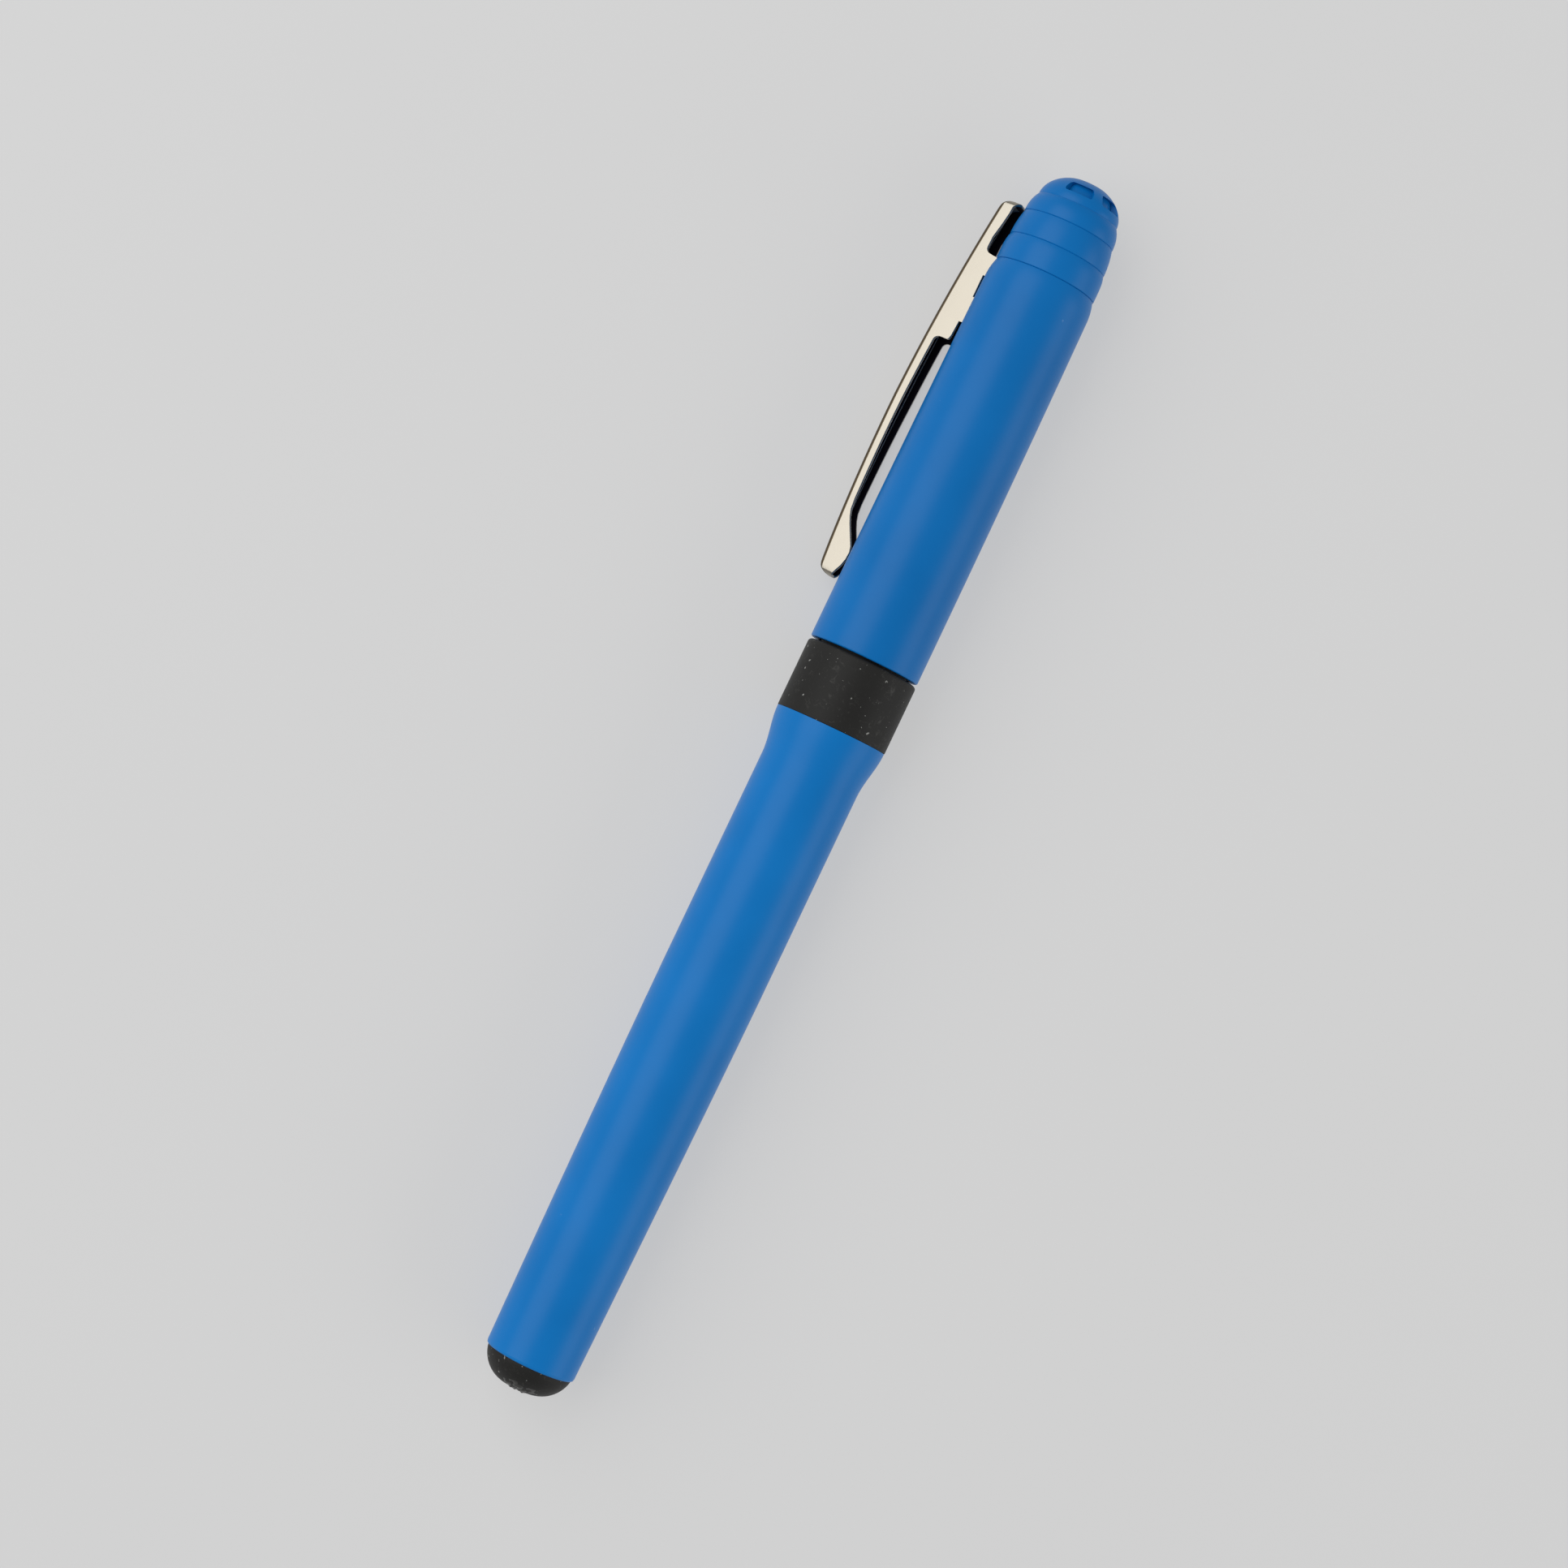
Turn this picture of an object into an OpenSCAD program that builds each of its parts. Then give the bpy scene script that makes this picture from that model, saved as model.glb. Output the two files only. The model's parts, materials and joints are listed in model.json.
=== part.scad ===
// Capped rollerball pen, lying on a flat surface as it comes to rest: on its centre band and its clip.
// All lengths are in millimetres. Each piece is drawn on the pen's own axis, with z running from the
// tail to the crown and the clip on the +x side. lay() then puts it down along the X axis.

/* [Overall] */
// Length of the capped pen, from tail to crown
pen_length = 138; // [136:1:146]
// Distance from the tail to the rear edge of the centre band
band_rear = 75.4; // [70:0.2:76]
// Width of the centre band along the pen
band_width = 7.7; // [6:0.1:8]
// Radius of the centre band, the widest ring of the pen
band_r = 6.13; // [6.1:0.01:6.5]

/* [Barrel] */
// Radius of the barrel's straight stretch
barrel_r = 5.44; // [5.2:0.02:5.6]
// Radius of the barrel at its tail
tail_r = 4.95; // [4.7:0.05:5]
// Radius of the barrel's bore
bore_r = 4.05; // [3.9:0.05:4.2]
// Height of the dome of the plug that closes the tail
plug_height = 3; // [2:0.25:3.5]
// Number of ribs that centre the reservoir in the barrel
barrel_ribs = 4; // [3:1:6]

/* [Cap] */
// Outer radius of the cap near its mouth
mouth_r = 6.09; // [6:0.01:6.1]
// Outer radius of the cap where its crown begins
crown_r = 5.85; // [5.75:0.01:6]
// Radius of the cap's bore
cap_bore_r = 5.12; // [5.1:0.01:5.16]
// Open gap between the centre band and the cap's mouth
mouth_gap = 0.25; // [0.1:0.05:0.5]
// Number of vent windows round the crown, none of them next to the clip
vents = 4; // [1:1:4]

/* [Clip] */
// Thickness of the clip's sheet steel
sheet = 0.35; // [0.25:0.05:0.4]
// Width of the clip at its saddle
clip_width = 3.5; // [3:0.1:3.8]
// Width of the clip at its foot
foot_width = 2; // [1.8:0.1:2.8]
// Distance from the pen's axis to the clip's outer face at the crest of its arch
clip_crest = 9.25; // [9:0.05:9.8]
// Radius of the clip's arch, seen from the side
arch_r = 225; // [180:5:300]

/* [Grip and tip] */
// Length of the rubber grip sleeve
grip_length = 23; // [20:1:23]
// Number of ridges round the grip sleeve
grip_ridges = 9; // [5:1:11]
// Radius of the writing ball
ball_r = 0.35; // [0.25:0.05:0.5]

/* [Hidden] */
$fn = 96;

// Stations along the pen, from the tail
band_front = band_rear + band_width;
mouth_z = band_front + mouth_gap;
tip_z = pen_length - 6.85;
nose_z = tip_z - 15.95;
sleeve_rear = band_front + 4.4;
sleeve_front = sleeve_rear + grip_length;

// Barrel
taper_end = 46;
taper_power = 1.4;
flare_length = 5.2;
flare_r = band_r - 0.03;
rim_round = 0.3;
socket_r = 4.45;
socket_depth = 9;
rib_inner_r = 3.36;
rib_width = 0.5;
plug_spigot = 6;
stalk_end = 20;

// Reservoir and wick
reservoir_r = 3.2;
film = 0.08;
reservoir_front = sleeve_rear + 12.5;
plug_length = 3.2;
wick_r = 0.78;
wick_rear = reservoir_front - 8;
wick_front = nose_z + 2.2;

// Grip core
snap_r = 5.04;
neck_r = 4.9;
seat_r = 4.1;
land_r = 4.2;
nose_socket_r = 2.9;

// Tip
holder_r = 1.9;
holder_front_r = 1.35;
shank_r = 0.95;
tip_r = 1.15;
nose_front = tip_z - 5.65;
ball_clearance = 0.015;
ball_z = tip_z - ball_r;
lip_height = 0.37 * ball_r;

// Crown: each ring is [height below the top of the pen, radius at its foot, radius where it ends, power].
// A higher power keeps the ring straight for longer before it rounds in.
crown_rings = [
    [13.2, crown_r, 5.5, 2.2],
    [10.9, 5.58, 5.35, 5],
    [7.95, 5.38, 5.02, 2.2],
    [5.15, 5.05, 4.5, 2.5]
];
cap_power = 2.3;
dome_rise = 2.9;
dome_r = 4.47;
top_flat_r = 1.9;
vent_angle = 44;
vent_phase = 100;
vent_pitch = 60;

// Clip: its saddle sits over two pairs of prongs that go through slots in the cap
clip_top = pen_length - 4.6;
clip_foot = pen_length - 48.1;
arch_z = pen_length - 33;
skirt = 1.23;
foot_skirt = 1.05;
taper_top = pen_length - 28;
taper_low = pen_length - 42;
saddle_front = pen_length - 10.85;
saddle_rear = pen_length - 20.65;
prongs = [[pen_length - 13, saddle_front], [pen_length - 18.4, pen_length - 15.6]];
prong_tip = 4.6;
saddle_edge = [5.75, 5.98];
foot_length = 8.3;
slot_play = 0.05;
root_z = saddle_rear - 0.8;
root_gap = 0.06;

// The clip's outer face seen from the side is an arc
function arch(z) = clip_crest - (arch_r - sqrt(arch_r * arch_r - (z - arch_z) * (z - arch_z)));

// How far the pen rolls before its clip touches the surface that the band lies on
roll = asin(band_r / norm([clip_crest, clip_width / 2])) - atan(clip_width / 2 / clip_crest);
// The box round the pen reaches band_r to one side of the axis and side_reach to the clip's side
side_reach = clip_crest * cos(roll) + clip_width / 2 * sin(roll);
axis_y = (band_r - side_reach) / 2;

// Points of a curve from [r0, z0] to [r1, z1] whose slope grows with the power n
function bend(r0, z0, r1, z1, n, steps = 8) =
    [for (i = [0:steps]) let (t = i / steps) [r0 + (r1 - r0) * pow(t, n), z0 + (z1 - z0) * t]];

function ease(t) = t * t * (3 - 2 * t);

// Points of a round corner, from angle a0 to angle a1
function corner(centre, r, a0, a1, steps = 6) =
    [for (i = [0:steps]) let (a = a0 + (a1 - a0) * i / steps) centre + r * [cos(a), sin(a)]];

module lay() {
    translate([-pen_length / 2, axis_y, band_r]) rotate([90 - roll, 0, 0]) rotate([0, 90, 0]) children();
}

module turned(points) {
    rotate_extrude() polygon(points);
}

module ribs(count, inner_r, outer_r, width, z0, z1, phase = 0) {
    intersection() {
        translate([0, 0, z0]) cylinder(r = outer_r, h = z1 - z0);
        for (i = [0:count - 1])
            rotate([0, 0, phase + i * 360 / count])
                translate([inner_r, -width / 2, z0])
                    cube([outer_r, width, z1 - z0]);
    }
}

// ---- Barrel group ----

module barrel() {
    taper_start = plug_height + rim_round;
    taper = [
        for (i = [0:10])
            let (t = i / 10)
                [barrel_r - (barrel_r - tail_r) * pow(1 - t, taper_power), taper_start + (taper_end - taper_start) * t]
    ];
    flare = [
        for (i = [0:10])
            let (t = i / 10)
                [barrel_r + (flare_r - barrel_r) * ease(t), band_rear - flare_length * (1 - t)]
    ];
    color("royalblue") {
        turned(concat(
            [[bore_r, plug_height], [tail_r - 0.18, plug_height], [tail_r - 0.05, plug_height + 0.1]],
            taper,
            flare,
            [[socket_r, band_rear], [socket_r, band_rear - socket_depth], [bore_r, band_rear - socket_depth]]
        ));
        ribs(barrel_ribs, rib_inner_r, bore_r + 0.2, rib_width, plug_height + plug_spigot + 0.5,
            band_rear - socket_depth - 1);
    }
}

module end_plug() {
    rim_r = tail_r - 0.25;
    gate_r = 0.9;
    floor_z = 1.5;
    wall_r = 3.3;
    spigot_end = plug_height + plug_spigot;
    dome = [
        for (i = [0:16])
            let (t = pow(i / 16, 1.5), round = pow(1 - pow(1 - t, 1.6), 1 / 2.4))
                [gate_r + (rim_r - gate_r) * round, plug_height * t]
    ];
    color("#2c2b29") {
        turned(concat(
            [[0, 0.15], [gate_r, 0.15]],
            dome,
            [[bore_r, plug_height], [bore_r, spigot_end - 0.4], [bore_r - 0.3, spigot_end],
             [wall_r, spigot_end], [wall_r, floor_z], [0, floor_z]]
        ));
        for (turn = [0, 90])
            rotate([0, 0, turn])
                translate([-3, -0.4, floor_z - 0.2])
                    cube([6, 0.8, stalk_end - floor_z + 0.2]);
    }
}

module centre_band() {
    edge = 0.12;
    front_round = 0.4;
    color("#2c2b29") turned(concat(
        [[5, band_rear]],
        corner([band_r - edge, band_rear + edge], edge, -90, 0),
        corner([band_r - front_round, band_front - front_round], front_round, 0, 90),
        [[5, band_front]]
    ));
}

module grip_core() {
    rear = band_rear - socket_depth;
    ridge = sleeve_rear - 2.6;
    color("#2c2b29") turned([
        [rib_inner_r, rear], [socket_r - 0.1, rear], [socket_r, rear + 0.5], [socket_r, band_rear],
        [5, band_rear], [5, band_front], [neck_r, band_front], [neck_r, ridge], [snap_r, ridge + 0.4],
        [snap_r, ridge + 0.8], [neck_r, ridge + 1.2], [neck_r, sleeve_rear], [seat_r, sleeve_rear],
        [seat_r, sleeve_front], [land_r + 0.35, sleeve_front], [land_r + 0.35, sleeve_front + 1.4],
        [land_r, sleeve_front + 1.7], [land_r, nose_z], [nose_socket_r, nose_z], [nose_socket_r, nose_z - 7.6],
        [2, nose_z - 7.6], [2, reservoir_front + plug_length], [rib_inner_r, reservoir_front + plug_length]
    ]);
}

module grip_sleeve() {
    valley_r = 4.7;
    ridge_r = 4.93;
    margin = 1.2;
    pitch = (grip_length - 2 * margin) / grip_ridges;
    steps = 6;
    wave = [
        for (k = [0:grip_ridges - 1], i = [0:steps - 1])
            let (t = i / steps)
                [valley_r + (ridge_r - valley_r) * sin(180 * t), sleeve_rear + margin + pitch * (k + t)]
    ];
    color("#2c2b29") turned(concat(
        [[seat_r, sleeve_rear], [neck_r, sleeve_rear], [neck_r, sleeve_rear + 0.4]],
        wave,
        [[valley_r, sleeve_front - margin], [valley_r, sleeve_front - 0.3], [valley_r - 0.15, sleeve_front],
         [seat_r, sleeve_front]]
    ));
}

module nose_cone() {
    color("silver") turned(concat(
        [[holder_r, nose_z - 7.5], [nose_socket_r, nose_z - 7.5], [nose_socket_r, nose_z],
         [3.85, nose_z], [4, nose_z + 0.15]],
        bend(4, nose_z + 0.8, 1.75, nose_front, 1.25, 10),
        [[holder_front_r, nose_front], [holder_front_r, nose_z + 1.8], [holder_r, nose_z + 1.8]]
    ));
}

module tip_holder() {
    rear = nose_z - 11;
    color("white") turned([
        [wick_r + 0.02, rear], [holder_r, rear], [holder_r, nose_z + 1.8], [holder_front_r, nose_z + 1.8],
        [holder_front_r, nose_front], [shank_r, nose_front], [shank_r, nose_z + 3.3],
        [wick_r + 0.02, nose_z + 3.3]
    ]);
}

module tip_body() {
    socket = ball_r + ball_clearance;
    bore = 0.6;
    channel = 0.6 * ball_r;
    // The socket is a sphere round the ball that closes in past its middle, which holds the ball in
    back = -asin(sqrt(1 - pow(channel / socket, 2)));
    front = asin(lip_height / socket);
    color("#c9c3b2") turned(concat(
        [[bore, nose_z + 3.3], [shank_r, nose_z + 3.3], [shank_r, nose_front], [tip_r, nose_front],
         [tip_r, tip_z - 3.6], [tip_r - 0.1, tip_z - 3.4], [ball_r + 0.07, ball_z + lip_height - 0.12],
         [ball_r + 0.02, ball_z + lip_height]],
        corner([0, ball_z], socket, front, back, 10),
        [[channel, tip_z - 2.1], [bore, tip_z - 2.3]]
    ));
}

module writing_ball() {
    color("#8d8f94") translate([0, 0, ball_z]) sphere(r = ball_r);
}

module feed_core() {
    needle = 0.4 * ball_r;
    color("white") turned([
        [0, wick_front], [0.55, wick_front], [0.55, tip_z - 2.35], [needle, tip_z - 2.35],
        [needle, tip_z - 2 * ball_r - 0.05], [0, tip_z - 2 * ball_r - 0.05]
    ]);
}

module relay_wick() {
    color("ivory") translate([0, 0, wick_rear]) cylinder(r = wick_r, h = wick_front - wick_rear);
}

module wick_plug() {
    color("white") difference() {
        translate([0, 0, reservoir_front]) cylinder(r = rib_inner_r, h = plug_length);
        translate([0, 0, reservoir_front - 1]) cylinder(r = wick_r, h = plug_length + 2);
        for (turn = [0:120:240])
            rotate([0, 0, turn])
                translate([2.6, -0.4, reservoir_front - 1])
                    cube([2, 0.8, plug_length + 2]);
    }
}

module reservoir_fibre() {
    color("lightsteelblue") turned([
        [0, stalk_end], [reservoir_r, stalk_end], [reservoir_r, reservoir_front],
        [wick_r, reservoir_front], [wick_r, wick_rear], [0, wick_rear]
    ]);
}

module reservoir_film() {
    color("lightcyan") turned([
        [reservoir_r, stalk_end], [reservoir_r + film, stalk_end],
        [reservoir_r + film, reservoir_front], [reservoir_r, reservoir_front]
    ]);
}

// ---- Cap group ----

// Outer line of the crown: stacked rings that round in, and a dome with a flat top
function crown_line() = concat(
    [for (k = [0:len(crown_rings) - 1])
        let (
            ring = crown_rings[k],
            top = k < len(crown_rings) - 1 ? crown_rings[k + 1][0] : dome_rise
        )
            each bend(ring[1], pen_length - ring[0], ring[2], pen_length - top, ring[3])],
    [for (i = [0:10])
        let (a = acos(top_flat_r / dome_r) * i / 10, rise = dome_rise / sin(acos(top_flat_r / dome_r)))
            [dome_r * cos(a), pen_length - dome_rise + rise * sin(a)]]
);

module vent_windows() {
    for (i = [0:vents - 1])
        rotate([0, 0, vent_phase - vent_angle / 2 + i * vent_pitch])
            rotate_extrude(angle = vent_angle)
                translate([2.6, pen_length - 1.95])
                    square([3, 1.15]);
}

module prong_slots() {
    for (span = prongs, side = [-1, 1])
        translate([
            prong_tip - 0.3,
            side * (clip_width - sheet) / 2 - sheet / 2 - slot_play,
            span[0] - slot_play
        ])
            cube([2, sheet + 2 * slot_play, span[1] - span[0] + 2 * slot_play]);
}

module cap_shell() {
    bead_z = mouth_z + 3.2;
    color("royalblue") difference() {
        turned(concat(
            [[cap_bore_r + 0.2, mouth_z], [mouth_r - 0.15, mouth_z]],
            bend(mouth_r, mouth_z + 0.2, crown_r, pen_length - crown_rings[0][0], cap_power, 16),
            crown_line(),
            [[0, pen_length], [0, pen_length - 0.75], [2.9, pen_length - 0.75], [3.7, pen_length - 2.1],
             [3.95, pen_length - 3.2], [4.3, pen_length - 5.2], [4.55, pen_length - 8.3],
             [4.65, pen_length - 10.8], [cap_bore_r, pen_length - 12], [cap_bore_r, bead_z + 0.5],
             [snap_r + 0.03, bead_z + 0.3], [snap_r + 0.03, bead_z - 0.3], [cap_bore_r, bead_z - 0.5],
             [cap_bore_r, mouth_z + 0.3]]
        ));
        vent_windows();
        prong_slots();
    }
}

module inner_cap() {
    mouth = sleeve_front + 2.1;
    wall_r = 4.72;
    top = pen_length - 0.8;
    seal_z = pen_length - 5.4;
    color("royalblue") {
        turned([
            [land_r + 0.13, mouth], [wall_r, mouth], [wall_r, pen_length - 14], [4.1, pen_length - 8],
            [3.85, pen_length - 4.2], [3.45, pen_length - 2.1], [2.85, top], [0, top],
            [0, seal_z], [1.9, seal_z], [2.1, seal_z - 1.4],
            [3.2, pen_length - 13], [land_r + 0.03, nose_z + 2.6], [land_r + 0.03, mouth + 0.5]
        ]);
        ribs(4, wall_r - 0.2, cap_bore_r, 0.8, mouth + 0.6, pen_length - 14, 45);
    }
}

module tip_seal() {
    color("dimgray") translate([0, 0, tip_z + 0.05]) cylinder(r = 1.88, h = 1.4);
}

// ---- Clip ----

// Distance from the axis to the lower edge of the clip's side wall along its arm
function arm_edge(z) =
    arch(z) - skirt + (skirt - foot_skirt) * (saddle_rear - z) / (saddle_rear - clip_foot - foot_length);

// Side view of the clip as [distance from the axis, z]: down its outer face, round the foot and back along
// the lower edge of its side walls
function clip_side() = concat(
    [[prong_tip, saddle_front], [5.7, saddle_front + 0.1]],
    corner([6.13, saddle_front + 0.72], 0.5, -90, 0, 4),
    [[6.6, clip_top - 4.3], [6.3, clip_top - 2.9], [6.05, clip_top - 1.4], [6, clip_top - 0.9],
     [5.36, clip_top - 0.75], [5.45, clip_top - 0.3]],
    corner([6.25, clip_top - 0.6], 0.6, 120, 90, 2),
    corner([arch(clip_top - 1.2) - 1.2, clip_top - 1.2], 1.2, 90, 0),
    [for (i = [1:24]) let (z = clip_top - 1.2 + (clip_foot + 1.4 - clip_top + 1.2) * i / 24) [arch(z), z]],
    corner([arch(clip_foot + 1.4) - 1.4, clip_foot + 1.4], 1.4, 0, -90),
    [for (point = [[7.05, 0.25], [6.82, 0.7], [6.42, 1.45], [6.2, 2.2], [6.13, 3], [6.28, 3.6], [6.6, 4.2],
                   [7, 4.95], [7.4, 5.7], [7.77, 6.5], [8, 7.25]]) [point[0], clip_foot + point[1]]],
    [for (i = [0:12])
        let (z = clip_foot + foot_length + (saddle_rear - clip_foot - foot_length - 0.6) * i / 12)
            [arm_edge(z), z]],
    corner([arm_edge(saddle_rear - 0.6) - 0.6, saddle_rear - 0.6], 0.6, 0, 90),
    [[saddle_edge[1] + 0.3, saddle_rear], [saddle_edge[1] + 0.08, saddle_rear + 0.3],
     [saddle_edge[1], prongs[1][0]], [prong_tip, prongs[1][0]], [prong_tip, prongs[1][1]],
     [saddle_edge[0], prongs[1][1]], [saddle_edge[0], prongs[0][0]], [prong_tip, prongs[0][0]]]
);

// Side view of the hollow under the clip's outer face, between its end walls
function hollow_side() = concat(
    [[3, clip_foot + 1.3], [3, clip_top - 0.45]],
    [for (i = [0:24])
        let (z = clip_top - 0.45 + (clip_foot + 1.75 - clip_top) * i / 24)
            [arch(z) - sheet, z]]
);

// Plan view of the clip, inset by some distance from its outline
module clip_plan(inset) {
    half = clip_width / 2 - inset;
    foot = foot_width / 2 - inset;
    polygon(concat(
        corner([half - 0.5, clip_top + 1 - 0.5], 0.5, 0, 90),
        corner([-half + 0.5, clip_top + 1 - 0.5], 0.5, 90, 180),
        [[-half, taper_top], [-foot - 0.25, taper_low], [-foot, clip_foot - 1], [foot, clip_foot - 1],
         [foot + 0.25, taper_low], [half, taper_top]]
    ));
}

// Pushes a side view out along y, or a plan view out along x
module from_side(width) {
    rotate([90, 0, 0]) translate([0, 0, -width / 2]) linear_extrude(width) children();
}

module from_above() {
    rotate([90, 0, 90]) linear_extrude(12) children();
}

module clip_blank() {
    difference() {
        intersection() {
            from_side(clip_width) polygon(clip_side());
            from_above() clip_plan(0);
        }
        intersection() {
            from_side(clip_width) polygon(hollow_side());
            from_above() clip_plan(sheet);
        }
    }
}

module clip_saddle() {
    color("silver") intersection() {
        clip_blank();
        translate([0, -5, root_z]) cube([12, 10, clip_top - root_z + 1]);
    }
}

module clip_arm() {
    color("silver") intersection() {
        clip_blank();
        translate([0, -5, clip_foot - 1]) cube([12, 10, root_z - root_gap - clip_foot + 1]);
    }
}

lay() barrel();
lay() end_plug();
lay() centre_band();
lay() grip_core();
lay() grip_sleeve();
lay() nose_cone();
lay() tip_holder();
lay() tip_body();
lay() writing_ball();
lay() feed_core();
lay() relay_wick();
lay() wick_plug();
lay() reservoir_fibre();
lay() reservoir_film();
lay() cap_shell();
lay() inner_cap();
lay() tip_seal();
lay() clip_saddle();
lay() clip_arm();
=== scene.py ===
"""Looks of the capped rollerball pen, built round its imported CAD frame.

Shapes are worked out in millimetres on the pen's own axes: x is the distance from the axis towards the
clip, y runs across the clip, and z runs from the tail to the crown. TO_ROW turns them into the row frame.
"""

import json
import math

import bmesh
import bpy
from mathutils import Matrix, Vector


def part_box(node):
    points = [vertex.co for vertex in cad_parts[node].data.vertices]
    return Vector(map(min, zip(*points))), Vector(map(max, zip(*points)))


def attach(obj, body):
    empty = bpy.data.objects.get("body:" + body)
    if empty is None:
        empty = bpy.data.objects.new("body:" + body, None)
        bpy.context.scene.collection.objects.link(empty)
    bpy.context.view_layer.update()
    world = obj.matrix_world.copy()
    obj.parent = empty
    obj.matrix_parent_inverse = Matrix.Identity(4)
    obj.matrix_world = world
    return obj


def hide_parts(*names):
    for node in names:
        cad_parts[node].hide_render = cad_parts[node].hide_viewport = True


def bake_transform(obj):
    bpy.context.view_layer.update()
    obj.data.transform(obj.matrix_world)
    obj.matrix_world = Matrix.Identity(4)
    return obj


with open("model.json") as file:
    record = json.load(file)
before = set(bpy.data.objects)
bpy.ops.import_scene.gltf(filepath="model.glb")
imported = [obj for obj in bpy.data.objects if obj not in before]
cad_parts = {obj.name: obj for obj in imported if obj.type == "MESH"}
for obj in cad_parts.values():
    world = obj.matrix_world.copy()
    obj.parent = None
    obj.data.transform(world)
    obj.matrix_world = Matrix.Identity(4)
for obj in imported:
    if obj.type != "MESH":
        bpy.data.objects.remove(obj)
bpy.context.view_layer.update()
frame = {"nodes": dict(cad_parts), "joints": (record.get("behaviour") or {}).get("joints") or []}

# ---------------------------------------------------------------- the pen's own axes

MM = 0.001
flex_axis = next(j["axis"] for j in frame["joints"] if j["name"] == "clip_flex")
ALONG = Vector((1, 0, 0))
ACROSS = -Vector(flex_axis).normalized()
OUT = ACROSS.cross(ALONG)
band_low, band_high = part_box("centre_band")
AXIS = (band_low + band_high) / 2
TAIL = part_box("end_plug")[0].x
TO_ROW = (
    Matrix.Translation((TAIL, AXIS.y, AXIS.z))
    @ Matrix((OUT, ACROSS, ALONG)).transposed().to_4x4()
    @ Matrix.Scale(MM, 4)
)
TO_PEN = TO_ROW.inverted()


def pen_box(node):
    """Lowest and highest corner of a CAD node on the pen's own axes, in millimetres."""
    points = [TO_PEN @ v.co for v in frame["nodes"][node].data.vertices]
    low = Vector(min(p[k] for p in points) for k in range(3))
    high = Vector(max(p[k] for p in points) for k in range(3))
    return low, high


PEN_LENGTH = pen_box("cap_shell")[1].z
CAP_MOUTH = pen_box("cap_shell")[0].z
MOUTH_R = pen_box("cap_shell")[1].x
CLIP_FOOT = pen_box("clip_arm")[0].z
CLIP_CREST = pen_box("clip_arm")[1].x
CLIP_TOP = pen_box("clip_saddle")[1].z
CLIP_WIDTH = 2 * pen_box("clip_saddle")[1].y


# ---------------------------------------------------------------- materials


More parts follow.
